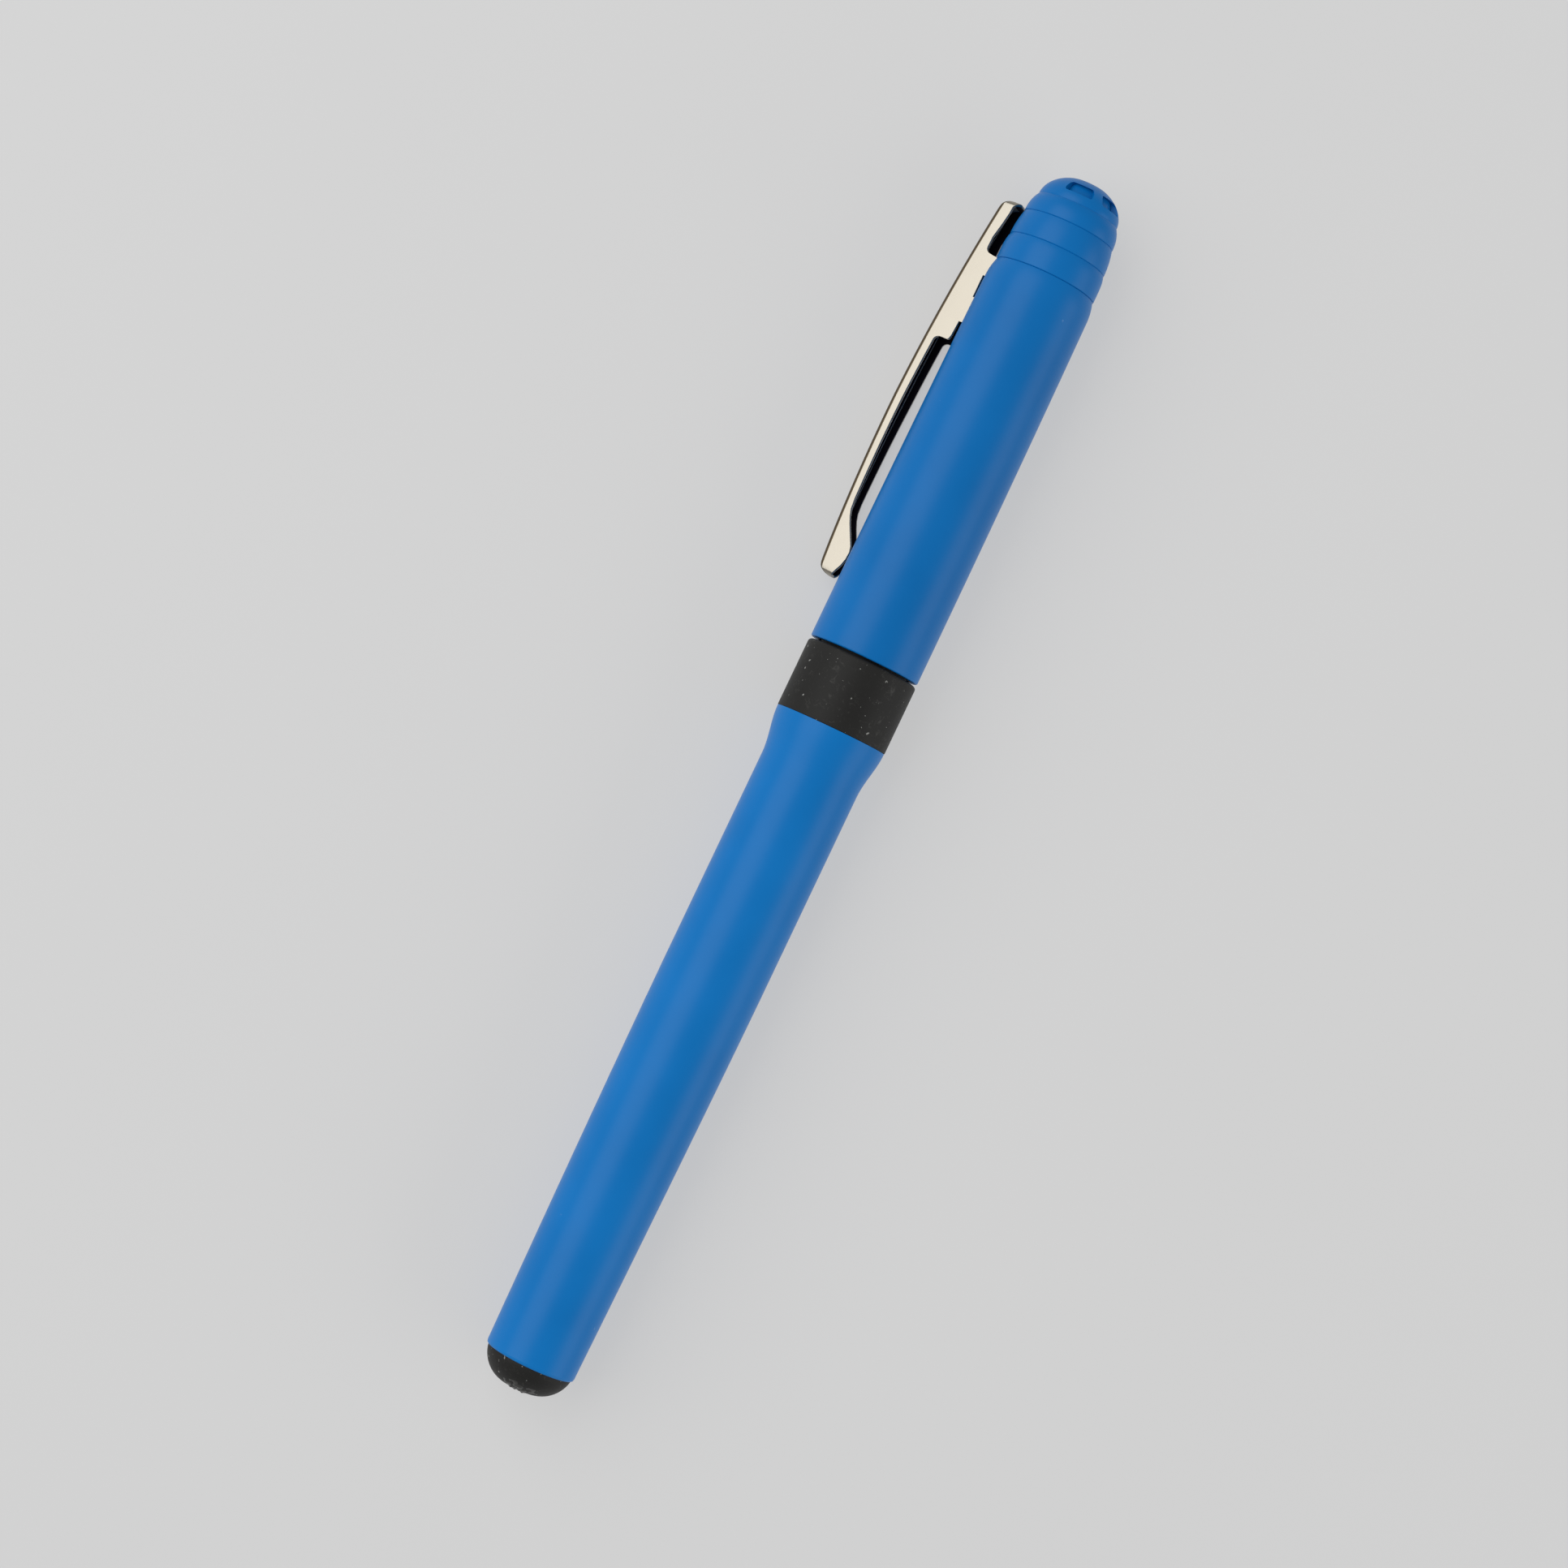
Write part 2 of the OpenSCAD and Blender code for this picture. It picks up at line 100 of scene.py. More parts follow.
class Nodes:
    """A material's node tree, with a short call for each kind of node."""

    def __init__(self, name, **settings):
        self.material = bpy.data.materials.new(name)
        self.material.use_nodes = True
        self.tree = self.material.node_tree
        self.shader = self.tree.nodes["Principled BSDF"]
        for key, value in settings.items():
            self.shader.inputs[key.replace("_", " ").title().replace("Ior", "IOR")].default_value = value
        self.place = self.add("ShaderNodeTexCoord").outputs["Object"]

    def add(self, kind, **settings):
        node = self.tree.nodes.new(kind)
        for key, value in settings.items():
            setattr(node, key, value)
        return node

    def link(self, source, node, socket):
        self.tree.links.new(source, node.inputs[socket])
        return node

    def stretched(self, x, y, z):
        """The place, scaled along the row's axes: a small number draws a pattern out along that axis."""
        node = self.add("ShaderNodeMapping")
        node.inputs["Scale"].default_value = (x, y, z)
        return self.link(self.place, node, "Vector").outputs["Vector"]

    def noise(self, size_mm, detail=2.0, roughness=0.5, place=None, distortion=0.0):
        """Noise whose features are about size_mm across."""
        node = self.add("ShaderNodeTexNoise")
        node.inputs["Scale"].default_value = 1 / (size_mm * MM)
        node.inputs["Detail"].default_value = detail
        node.inputs["Roughness"].default_value = roughness
        node.inputs["Distortion"].default_value = distortion
        self.link(place or self.place, node, "Vector")
        return node.outputs["Fac"]

    def between(self, source, low, high, at=(0.0, 1.0)):
        """Maps the part of source between the two numbers in at onto low to high."""
        node = self.add("ShaderNodeMapRange")
        node.inputs["From Min"].default_value = at[0]
        node.inputs["From Max"].default_value = at[1]
        node.inputs["To Min"].default_value = low
        node.inputs["To Max"].default_value = high
        return self.link(source, node, "Value").outputs["Result"]

    def maths(self, operation, a, b):
        node = self.add("ShaderNodeMath", operation=operation)
        for i, value in enumerate((a, b)):
            if isinstance(value, (int, float)):
                node.inputs[i].default_value = value
            else:
                self.tree.links.new(value, node.inputs[i])
        return node.outputs["Value"]

    def colours(self, factor, a, b):
        """Colour a where factor is 0, and b where it is 1. Each is a colour or another node's output."""
        node = self.add("ShaderNodeMix", data_type="RGBA")
        self.tree.links.new(factor, node.inputs[0])
        for i, value in ((6, a), (7, b)):
            if isinstance(value, tuple):
                node.inputs[i].default_value = (*value, 1)
            else:
                self.tree.links.new(value, node.inputs[i])
        return node.outputs[2]

    def specks(self, spacing_mm, size, share):
        """1 inside small odd-shaped specks, 0 elsewhere.

        size is against the spacing, and share is how many of them show."""
        warp = self.add("ShaderNodeVectorMath", operation="MULTIPLY_ADD")
        wobble = self.add("ShaderNodeTexNoise")
        wobble.inputs["Scale"].default_value = 2.5 / (spacing_mm * MM)
        self.link(self.place, wobble, "Vector")
        self.tree.links.new(wobble.outputs["Color"], warp.inputs[0])
        warp.inputs[1].default_value = (0.55 * spacing_mm * MM,) * 3
        self.tree.links.new(self.place, warp.inputs[2])
        cells = self.add("ShaderNodeTexVoronoi")
        cells.inputs["Scale"].default_value = 1 / (spacing_mm * MM)
        self.tree.links.new(warp.outputs["Vector"], cells.inputs["Vector"])
        near = self.between(cells.outputs["Distance"], 1, 0, at=(size * 0.5, size))
        pick = self.add("ShaderNodeSeparateColor")
        self.tree.links.new(cells.outputs["Color"], pick.inputs["Color"])
        chosen = self.maths("LESS_THAN", pick.outputs["Red"], share)
        return self.maths("MULTIPLY", near, chosen)

    def bump(self, height, depth_mm, strength=1.0, under=None):
        node = self.add("ShaderNodeBump")
        node.inputs["Strength"].default_value = strength
        node.inputs["Distance"].default_value = depth_mm * MM
        self.link(height, node, "Height")
        if under is not None:
            self.tree.links.new(under, node.inputs["Normal"])
        return node.outputs["Normal"]

    def finish(self, colour=None, roughness=None, normal=None):
        for source, socket in ((colour, "Base Color"), (roughness, "Roughness"), (normal, "Normal")):
            if source is not None:
                self.link(source, self.shader, socket)
        return self.material


def moulded_blue(name, deep, pale):
    """Satin moulded plastic: faint flow clouds, a fine mould texture and light handling marks."""
    n = Nodes(name, specular_ior_level=0.19)
    clouds = n.noise(9, detail=3)
    rubs = n.noise(0.5, detail=4, place=n.stretched(0.12, 1, 1), distortion=0.4)
    marks = n.between(rubs, 0, 1, at=(0.66, 0.78))
    nicks = n.specks(4.2, 0.05, 0.3)
    blue = n.colours(n.between(clouds, 0, 1, at=(0.3, 0.7)), deep, pale)
    blue = n.colours(n.maths("MULTIPLY", nicks, 0.6), blue, (0.12, 0.3, 0.6))
    gloss = n.maths("ADD", n.between(clouds, 0.34, 0.4), n.maths("MULTIPLY", marks, 0.08))
    grain = n.bump(n.noise(0.22, detail=3, roughness=0.6), 0.004)
    dents = n.bump(n.noise(5, detail=1), 0.02, under=grain)
    return n.finish(blue, gloss, dents)


def moulded_black(name="moulded_black", lint=1.0):
    """Matte moulded plastic, a little warm, with scuffs and clinging specks of lint."""
    n = Nodes(name, specular_ior_level=0.2)
    clouds = n.noise(3, detail=4)
    scuffs = n.between(n.noise(0.8, detail=6, roughness=0.7, distortion=1.2), 0, 1, at=(0.57, 0.7))
    dust = n.maths("MAXIMUM", n.specks(1.2, 0.13, 0.6), n.specks(0.6, 0.12, 0.3))
    black = n.colours(clouds, (0.013, 0.0128, 0.012), (0.019, 0.0187, 0.0175))
    black = n.colours(n.maths("MULTIPLY", scuffs, 0.3 * lint), black, (0.1, 0.098, 0.09))
    black = n.colours(n.maths("MULTIPLY", dust, 0.75 * lint), black, (0.42, 0.42, 0.4))
    gloss = n.maths("SUBTRACT", n.between(clouds, 0.5, 0.6), n.maths("MULTIPLY", scuffs, 0.12))
    grain = n.bump(n.noise(0.12, detail=3, roughness=0.65), 0.006)
    lifted = n.bump(dust, 0.02 * lint, under=grain)
    return n.finish(black, gloss, lifted)


def grip_rubber():
    """Soft rubber: very matte, with a fine even grain and paler, drier peaks."""
    n = Nodes("grip_rubber", specular_ior_level=0.3, sheen_weight=0.15, sheen_roughness=0.6)
    clouds = n.noise(4, detail=3)
    grain = n.noise(0.09, detail=4, roughness=0.7)
    black = n.colours(clouds, (0.014, 0.014, 0.0145), (0.022, 0.022, 0.0225))
    black = n.colours(n.between(grain, 0, 0.5, at=(0.55, 0.8)), black, (0.04, 0.04, 0.041))
    return n.finish(black, n.between(clouds, 0.68, 0.8), n.bump(grain, 0.012))


def plated(name, tint, gloss):
    """Plated stamped sheet: a soft waviness, faint drawing lines and hazy patches."""
    n = Nodes(name, metallic=1.0)
    haze = n.noise(1.6, detail=5, roughness=0.6)
    lines = n.noise(0.05, detail=2, place=n.stretched(0.04, 1, 1))
    waves = n.noise(1.5, detail=1)
    pale = tuple(min(1.0, c * 1.05) for c in tint)
    dull = tuple(c * 0.9 for c in tint)
    metal = n.colours(haze, dull, pale)
    rough = n.maths("ADD", n.between(haze, gloss - 0.05, gloss + 0.07), n.between(lines, -0.02, 0.03))
    drawn = n.bump(lines, 0.0006)
    return n.finish(metal, rough, n.bump(waves, 0.012, under=drawn))


def painted_shade_inside_look():
    """The clip's inside, painted near-black as shade and dark reflection inside the channel: dull and a
    little streaky.
    """
    n = Nodes("clip_inside_painted_shade", specular_ior_level=0.02)
    streaks = n.noise(0.4, detail=4, place=n.stretched(0.15, 1, 1))
    tone = n.colours(streaks, (0.008, 0.006, 0.01), (0.018, 0.014, 0.021))
    return n.finish(tone, n.between(streaks, 0.5, 0.7), n.bump(streaks, 0.003))


def turned(name, tint, gloss, pitch_mm=0.05):
    """Lathe-turned metal: fine rings round the axis, and a little tarnish."""
    n = Nodes(name, metallic=1.0)
    rings = n.noise(pitch_mm, detail=3, roughness=0.7, place=n.stretched(1, 0.002, 0.002))
    haze = n.noise(1.2, detail=4)
    dull = tuple(c * 0.82 for c in tint)
    metal = n.colours(haze, dull, tint)
    rough = n.maths("ADD", n.between(haze, gloss - 0.04, gloss + 0.06), n.between(rings, -0.04, 0.06))
    return n.finish(metal, rough, n.bump(rings, 0.002))


def plain_plastic(name, dark, pale, gloss):
    """Unpolished moulded plastic with slight flow shading."""
    n = Nodes(name, specular_ior_level=0.45)
    clouds = n.noise(2.5, detail=3)
    grain = n.bump(n.noise(0.15, detail=3), 0.004)
    return n.finish(n.colours(clouds, dark, pale), n.between(clouds, gloss, gloss + 0.1), grain)


def ink_fibre():
    """Bonded fibre, drawn out along the pen, unevenly soaked with ink."""
    n = Nodes("ink_fibre", sheen_weight=0.2)
    strands = n.noise(0.06, detail=3, place=n.stretched(0.03, 1, 1))
    soak = n.noise(3, detail=3)
    wet = n.colours(soak, (0.01, 0.045, 0.22), (0.03, 0.1, 0.4))
    tone = n.colours(n.between(strands, 0, 0.4), wet, (0.2, 0.32, 0.62))
    return n.finish(tone, n.between(strands, 0.55, 0.85), n.bump(strands, 0.02))


def clear_film():
    """Thin clear wrap with faint drawing streaks."""
    n = Nodes("clear_film", alpha=0.35, specular_ior_level=0.6)
    streaks = n.noise(0.3, detail=3, place=n.stretched(0.05, 1, 1))
    tone = n.colours(streaks, (0.75, 0.82, 0.9), (0.9, 0.94, 0.97))
    return n.finish(tone, n.between(streaks, 0.08, 0.22), n.bump(streaks, 0.003))


BLUE = moulded_blue("moulded_blue", (0.0012, 0.173, 0.525), (0.0025, 0.19, 0.57))
# Painted shade: the cap's blue is a darker copy of the barrel's, standing for the weaker light falling on
# the cap.
CAP_BLUE_PAINTED_SHADE = moulded_blue("moulded_blue_cap_painted_shade", (0.0007, 0.151, 0.465), (0.0015, 0.166, 0.505))
BLACK = moulded_black()
BLACK_HIDDEN = moulded_black("moulded_black_clean", lint=0.15)
GATE_BLACK = plain_plastic("torn_black", (0.018, 0.0175, 0.016), (0.035, 0.034, 0.031), 0.28)
RUBBER = grip_rubber()
PLATE = plated("nickel_plate", (0.4, 0.368, 0.31), 0.27)
# Painted dark reflection: a dark bronze copy of the plate for the clip's outer bends, standing for the dark
# surroundings they reflect.
PLATE_PAINTED_DARK_REFLECTION = plated("nickel_plate_painted_dark_reflection", (0.13, 0.1, 0.065), 0.34)
PLATE_PAINTED_SHADE = painted_shade_inside_look()
# Painted highlight: a pale matte look on the clip's inner bends, standing for the thin bright line of light
# they reflect.
PLATE_PAINTED_HIGHLIGHT = plain_plastic("nickel_fillet_painted_highlight", (0.3, 0.28, 0.25), (0.4, 0.38, 0.34), 0.3)
NOSE = turned("turned_steel", (0.72, 0.71, 0.68), 0.24)
TIP = turned("nickel_silver", (0.78, 0.71, 0.56), 0.22, pitch_mm=0.02)
CARBIDE = turned("carbide", (0.42, 0.42, 0.43), 0.1, pitch_mm=0.01)
WHITE = plain_plastic("white_plastic", (0.74, 0.74, 0.7), (0.84, 0.84, 0.81), 0.38)
SEAL = plain_plastic("seal_rubber", (0.04, 0.04, 0.042), (0.06, 0.06, 0.063), 0.65)
FIBRE = ink_fibre()
FILM = clear_film()

NODE_LOOKS = {
    "barrel": BLUE,
    "end_plug": BLACK,
    "centre_band": BLACK,
    "grip_core": BLACK_HIDDEN,
    "grip_sleeve": RUBBER,
    "nose_cone": NOSE,
    "tip_holder": WHITE,
    "tip_body": TIP,
    "writing_ball": CARBIDE,
    "feed_core": WHITE,
    "relay_wick": FIBRE,
    "wick_plug": WHITE,
    "reservoir_fibre": FIBRE,
    "reservoir_film": FILM,
    "cap_shell": CAP_BLUE_PAINTED_SHADE,
    "inner_cap": CAP_BLUE_PAINTED_SHADE,
    "tip_seal": SEAL,
    "clip_saddle": PLATE,
    "clip_arm": PLATE,
}
for node, look in NODE_LOOKS.items():
    cad = frame["nodes"][node]
    cad.data.materials.clear()
    cad.data.materials.append(look)

# ---------------------------------------------------------------- shapes


def cut_lengths(start, end, step):
    """Numbers from start to end, about step apart."""
    count = max(1, round(abs(end - start) / step))
    return [start + (end - start) * i / count for i in range(count + 1)]


def arc(centre, radius, start, end, steps):
    """Points of an arc in degrees, round a centre (distance from the axis, height)."""
    angles = [math.radians(a) for a in cut_lengths(start, end, abs(end - start) / steps)]
    return [(centre[0] + radius * math.cos(a), centre[1] + radius * math.sin(a)) for a in angles]


def new_piece(name, points, faces, looks, smooth_angle=35):
    """A mesh object from points on the pen's axes. faces is a list of (corners, look number)."""
    mesh = bpy.data.meshes.new(name)
    mesh.from_pydata([TO_ROW @ Vector(p) for p in points], [], [corners for corners, look in faces])
    for look in looks:
        mesh.materials.append(look)
    mesh.polygons.foreach_set("material_index", [look for corners, look in faces])
    shape = bmesh.new()
    shape.from_mesh(mesh)
    bmesh.ops.recalc_face_normals(shape, faces=shape.faces)
    shape.to_mesh(mesh)
    shape.free()
    mesh.polygons.foreach_set("use_smooth", [True] * len(mesh.polygons))
    mesh.set_sharp_from_angle(angle=math.radians(smooth_angle))
    piece = bpy.data.objects.new(name, mesh)
    bpy.context.scene.collection.objects.link(piece)
    return piece


def lathe(name, outline, looks, steps=160, smooth_angle=35):
    """A closed outline of (radius, height) turned round the pen's axis."""
    points = []
    rings = []
    for radius, height in outline:
        if radius < 1e-6:
            rings.append([len(points)] * steps)
            points.append((0, 0, height))
            continue
        rings.append(list(range(len(points), len(points) + steps)))
        for i in range(steps):
            turn = math.tau * i / steps
            points.append((radius * math.cos(turn), radius * math.sin(turn), height))
    faces = []
    for ring, after in zip(rings, rings[1:] + rings[:1]):
        for i in range(steps):
            j = (i + 1) % steps
            corners = tuple(dict.fromkeys((ring[i], ring[j], after[j], after[i])))
            if len(corners) > 2:
                faces.append((corners, 0))
    return new_piece(name, points, faces, looks, smooth_angle)


def prism(name, low, high):
    """A closed solid between two loops with the same number of points."""
    count = len(low)
    faces = [(tuple(range(count)), 0), (tuple(range(count, 2 * count)), 0)]
    for i in range(count):
        j = (i + 1) % count
        faces.append(((i, j, count + j, count + i), 0))
    return new_piece(name, low + high, faces, [])


def carve(piece, cutters, smooth_angle=35):
    """Cuts the cutters out of the piece for good, and removes them."""
    for cutter in cutters:
        cut = piece.modifiers.new("cut", "BOOLEAN")
        cut.operation = "DIFFERENCE"
        cut.solver = "EXACT"
        cut.object = cutter
    bpy.context.view_layer.update()
    graph = bpy.context.evaluated_depsgraph_get()
    carved = bpy.data.meshes.new_from_object(piece.evaluated_get(graph))
    piece.modifiers.clear()
    piece.data = carved
    carved.polygons.foreach_set("use_smooth", [True] * len(carved.polygons))
    carved.set_sharp_from_angle(angle=math.radians(smooth_angle))
    for cutter in cutters:
        bpy.data.objects.remove(cutter)


# ---------------------------------------------------------------- clip

SHEET = 0.35
RIM = 0.07
ARCH_R = 225
ARCH_Z = PEN_LENGTH - 33
CLIP_HALF = CLIP_WIDTH / 2
FOOT_HALF = 1.0
TAPER_HALF = 1.25
TAPER_TOP = PEN_LENGTH - 28
TAPER_LOW = PEN_LENGTH - 42
SADDLE_FRONT = PEN_LENGTH - 10.85
SADDLE_REAR = PEN_LENGTH - 20.65
PRONG_TIP = 4.62
SIDE_BEND = 0.42
TOP_BEND = 1.2
FOOT_BEND = 1.35
CORNER = 0.62
STRAIGHT_WALL = 8.3
END_ZONE = 3
# Look numbers: the plated face, painted shade inside, painted dark reflection on the outer bends, painted
# highlight on the inner bends.
FACE, INSIDE_PAINTED_SHADE, BEND_PAINTED_DARK_REFLECTION, FILLET_PAINTED_HIGHLIGHT = range(4)


def arch(z):
    """How far the clip's outer face is from the axis."""
    return CLIP_CREST - (ARCH_R - math.sqrt(ARCH_R**2 - (z - ARCH_Z) ** 2))


def arm_edge(z):
    """How far the side wall's lower edge is from the axis along the arm."""
    share = (SADDLE_REAR - z) / (SADDLE_REAR - CLIP_FOOT - STRAIGHT_WALL)
    return arch(z) - 1.23 + 0.18 * share


def half_width(z):
    """Half the clip's width, which tapers from the saddle to the foot."""
    if z > TAPER_TOP:
        return CLIP_HALF
    if z > TAPER_LOW:
        return TAPER_HALF + (CLIP_HALF - TAPER_HALF) * (z - TAPER_LOW) / (TAPER_TOP - TAPER_LOW)
    return FOOT_HALF + (TAPER_HALF - FOOT_HALF) * (z - CLIP_FOOT) / (TAPER_LOW - CLIP_FOOT)


def side_edge():
    """The side wall's lower edge from top to foot, as (distance from the axis, height)."""
    edge = [(6.0, CLIP_TOP - CORNER), (6.05, CLIP_TOP - 1.4), (6.3, CLIP_TOP - 2.9)]
    edge += [(6.6, CLIP_TOP - 4.3)]
    edge += arc((6.05, SADDLE_FRONT + 0.75), 0.58, 0, -80, 6)
    edge += [(5.72, SADDLE_FRONT + 0.1), (PRONG_TIP, SADDLE_FRONT)]
    edge += [(PRONG_TIP, PEN_LENGTH - 13), (5.75, PEN_LENGTH - 13.05)]
    edge += [(5.75, PEN_LENGTH - 15.55), (PRONG_TIP, PEN_LENGTH - 15.6)]
    edge += [(PRONG_TIP, PEN_LENGTH - 18.4), (5.98, PEN_LENGTH - 18.45)]
    edge += [(6.06, SADDLE_REAR + 0.5), (6.16, SADDLE_REAR + 0.12), (6.32, SADDLE_REAR + 0.02)]
    edge += arc((arm_edge(SADDLE_REAR - 0.6) - 0.6, SADDLE_REAR - 0.6), 0.6, 88, 0, 8)
    edge += [(arm_edge(z), z) for z in cut_lengths(SADDLE_REAR - 1.2, CLIP_FOOT + STRAIGHT_WALL, 0.7)]
    foot = ((8.0, 7.25), (7.77, 6.5), (7.4, 5.7), (7.0, 4.95), (6.6, 4.2), (6.28, 3.6), (6.13, 3.0))
    foot += ((6.2, 2.2), (6.42, 1.45), (6.7, 0.9))
    return edge + [(x, CLIP_FOOT + rise) for x, rise in foot]


def end_stations(end, facing, half, bend, lows, steps=14):
    """Stations of a rounded end wall, from its middle to where the side wall starts."""
    stations = []
    straight = half - CORNER
    for i in range(steps):
        f = i / steps
        turn = math.radians(max(0, 2 * f - 1) * 90)
        y = straight * min(1, 2 * f) + CORNER * math.sin(turn)
        z = end - facing * CORNER * (1 - math.cos(turn))
        quarter = math.radians(90 * f)
        web_y = (half - SIDE_BEND) * math.sin(quarter) ** 0.75
        web_z = end - facing * (bend + 0.5 - 0.5 * math.cos(quarter) ** 0.75)
        low = lows[0] + (lows[1] - lows[0]) * max(0, 2 * f - 1)
        tall = bend + (SIDE_BEND - bend) * math.sin(turn) ** 2
        stations.append((y, z, math.sin(turn), facing * math.cos(turn), web_y, web_z, low, tall))
    return stations


def web_height(z):
    """Where the web meets the bend beside a side wall at height z: it draws away from the end walls."""
    top_web = CLIP_TOP - TOP_BEND - 0.5
    foot_web = CLIP_FOOT + FOOT_BEND + 0.5
    if z > CLIP_TOP - END_ZONE:
        share = (CLIP_TOP - CORNER - z) / (END_ZONE - CORNER)
        return top_web + (CLIP_TOP - END_ZONE - top_web) * share
    if z < CLIP_FOOT + END_ZONE:
        share = (z - CLIP_FOOT - CORNER) / (END_ZONE - CORNER)
        return foot_web + (CLIP_FOOT + END_ZONE - foot_web) * share
    return z


def clip_stations():
    """Half way round the clip, from the middle of its top end to the middle of its foot.

    Each holds the outline's place and normal in plan, where the web starts, the lower edge and the
    bend's height."""
    stations = end_stations(CLIP_TOP, 1, CLIP_HALF, TOP_BEND, (5.4, 6.0))
    for low, z in side_edge():
        half = half_width(z)
        stations.append((half, z, 1, 0, half - SIDE_BEND, web_height(z), low, SIDE_BEND))
    foot = end_stations(CLIP_FOOT, -1, FOOT_HALF, FOOT_BEND, (7.15, 6.85))
    return stations + foot[::-1]


def mirrored(half):
    """The stations all the way round, from those of the half with positive y."""
    other = [(-y, z, -ny, nz, -wy, wz, low, tall) for y, z, ny, nz, wy, wz, low, tall in half[-2:0:-1]]
    return half + other


def wall_ring(loop, depth, above_edge):
    """A ring along the walls' lower edge, depth inside the sheet's outer face."""
    ring = []
    for y, z, ny, nz, wy, wz, low, tall in loop:
        ring.append((low + above_edge, y - ny * depth, z - nz * depth))
    return ring


def bend_ring(loop, degrees, depth):
    """A ring round the bend, from the wall at 0 degrees to the web at 90."""
    c = math.cos(math.radians(degrees))
    s = math.sin(math.radians(degrees))
    ring = []
    for y, z, ny, nz, wy, wz, low, tall in loop:
        across = y + (wy - y) * (1 - c)
        height = z + (wz - z) * (1 - c)
        out = arch(height) - tall * (1 - s) - depth * s
        ring.append((out, across - ny * depth * c, height - nz * depth * c))
    return ring


def ring_look(ring, station, wall_rings, web_outside):
    """Which look a face has, from its ring's number and its station on the loop."""
    # Inner faces by the walls' lower edge get the painted shade look.
    if ring < 2:
        return INSIDE_PAINTED_SHADE
    on_side_wall = abs(station[2]) > 0.6
    bend_from = wall_rings + (0 if on_side_wall else 5)
    # The outer bend faces get the painted dark reflection look.
    if bend_from <= ring < web_outside:
        return BEND_PAINTED_DARK_REFLECTION
    # The inner bend faces get the painted highlight look.
    return FILLET_PAINTED_HIGHLIGHT if ring > web_outside else FACE


def web_faces(half_count, count, ring, look):
    """Faces across the web, between the two halves of one ring."""
    faces = []
    for i in range(half_count - 1):
        corners = (i, i + 1, (count - i - 1) % count, (count - i) % count)
        faces.append((tuple(ring * count + c for c in dict.fromkeys(corners)), look))
    return faces


def clip_strip():
    """The whole clip as one stamped sheet with a real thickness: web, side walls, end walls and prongs."""
    half = clip_stations()
    loop = mirrored(half)
    edges = ((SHEET, 2 * RIM), (SHEET, RIM), (SHEET - RIM, 0), (RIM, 0), (0, RIM), (0, 2 * RIM))
    rings = [wall_ring(loop, depth, above) for depth, above in edges]
    wall_rings = len(rings)
    turns = cut_lengths(0, 90, 12)
    rings += [bend_ring(loop, degrees, 0) for degrees in turns]
    web_outside = len(rings) - 1
    rings += [bend_ring(loop, degrees, SHEET) for degrees in reversed(turns)]
    count = len(loop)
    faces = []
    for a in range(len(rings)):
        b = (a + 1) % len(rings)
        if a == web_outside:
            continue
        for i in range(count):
            j = (i + 1) % count
            corners = (a * count + i, a * count + j, b * count + j, b * count + i)
            # The inner wall face, which closes the loop, gets the painted shade look.
            look = INSIDE_PAINTED_SHADE if b == 0 else ring_look(a, loop[i], wall_rings, web_outside)
            faces.append((corners, look))
    faces += web_faces(len(half), count, web_outside, FACE)
    # The web's inner face gets the painted shade look.
    faces += web_faces(len(half), count, web_outside + 1, INSIDE_PAINTED_SHADE)
    points = [point for ring in rings for point in ring]
    # Looks in order: the plate, painted shade inside, painted dark reflection on the outer bends, painted
    # highlight on the inner bends.
    looks = [PLATE, PLATE_PAINTED_SHADE, PLATE_PAINTED_DARK_REFLECTION, PLATE_PAINTED_HIGHLIGHT]
    return new_piece("clip_strip", points, faces, looks, smooth_angle=50)


clip = clip_strip()
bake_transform(clip)
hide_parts("clip_saddle", "clip_arm")

# ---------------------------------------------------------------- cap

CROWN_R = 5.85
CROWN_DEPTH = 13.2
# each ring's start below the top, its radius there and at its end, and how late its side curves in
CROWN_RINGS = (
    (CROWN_DEPTH, CROWN_R, 5.5, 2.2),
    (10.9, 5.58, 5.35, 5),
    (7.95, 5.38, 5.02, 2.2),
    (5.15, 5.05, 4.5, 2.5),
)
DOME_RISE = 2.9
DOME_R = 4.47
TOP_FLAT_R = 1.9
CAP_BORE_R = 5.12
SNAP_R = 5.07
CAP_ROOF = 0.77
VENT_COUNT = 4
VENT_FIRST = 100
VENT_PITCH = 60
# each pair of prongs' ends below the pen's top
PRONGS = ((13, 10.85), (18.4, 15.6))


def bowed(r0, z0, r1, z1, power, steps):
    """An outline from (r0, z0) to (r1, z1) that leaves the straight line late: a soft convex side."""
    return [(r0 + (r1 - r0) * t**power, z0 + (z1 - z0) * t) for t in cut_lengths(0, 1, 1 / steps)]


